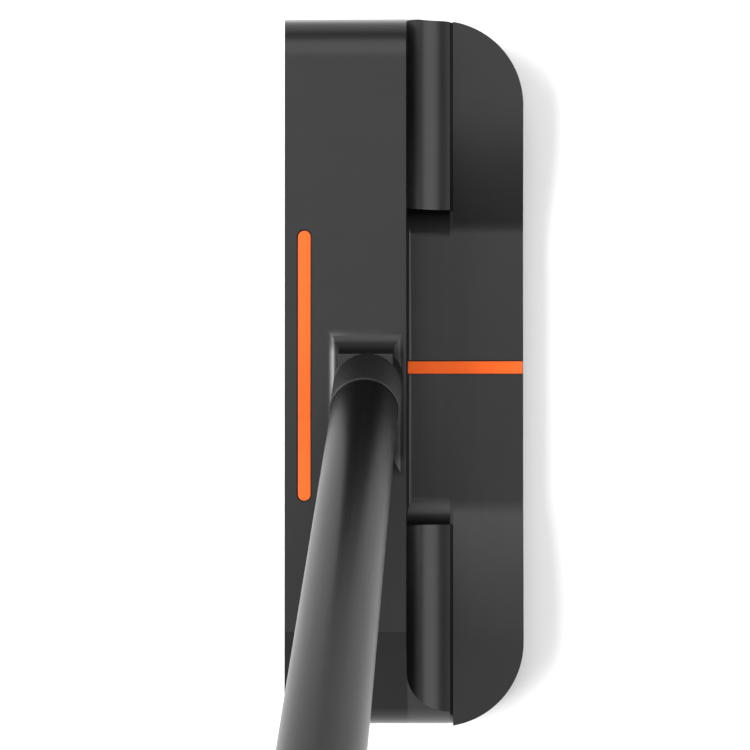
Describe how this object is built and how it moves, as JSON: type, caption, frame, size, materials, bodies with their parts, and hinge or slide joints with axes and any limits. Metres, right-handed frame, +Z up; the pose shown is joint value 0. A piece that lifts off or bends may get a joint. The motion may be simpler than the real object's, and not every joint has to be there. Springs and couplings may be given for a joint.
{
  "type": "mallet putter",
  "caption": "Square-ended mallet golf putter with a milled black head, centre shaft, orange sight lines, sole weights and a rubber grip.",
  "frame": {"origin": "middle of the flat sole, straight under the flange sight line", "axes": "+Z up from the sole, +Y towards the toe, -X the way the face points and the stroke goes"},
  "size_m": [0.0523, 0.3528, 0.818],
  "materials": {
    "head_black": "matte black anodised over fine milling marks",
    "insert_metal": "dark anodised, milled with fine grooves",
    "adhesive": "cured epoxy",
    "sight_paint": "orange paint fill",
    "sole_steel": "dark brushed",
    "screw_steel": "black oxide",
    "weight_metal": "turned, dark",
    "washer_rubber": "matte",
    "shaft_black": "satin black",
    "tape": "double-sided paper tape",
    "grip_rubber": "matte moulded texture",
    "cap_plastic": "moulded"
  },
  "bodies": {
    "root": {"head_body": "head_black", "face_insert": "insert_metal", "insert_bond_film": "adhesive", "face_sight_line": "sight_paint", "flange_sight_line": "sight_paint", "sole_plate": "sole_steel", "sole_screw_1": "screw_steel", "sole_screw_2": "screw_steel", "sole_screw_3": "screw_steel", "sole_screw_4": "screw_steel", "toe_sole_weight": "weight_metal", "heel_sole_weight": "weight_metal", "toe_weight_washer": "washer_rubber", "heel_weight_washer": "washer_rubber", "shaft": "shaft_black", "shaft_bond": "adhesive", "grip_tape": "tape", "grip": "grip_rubber", "grip_cap": "cap_plastic"}
  },
  "joints": []
}
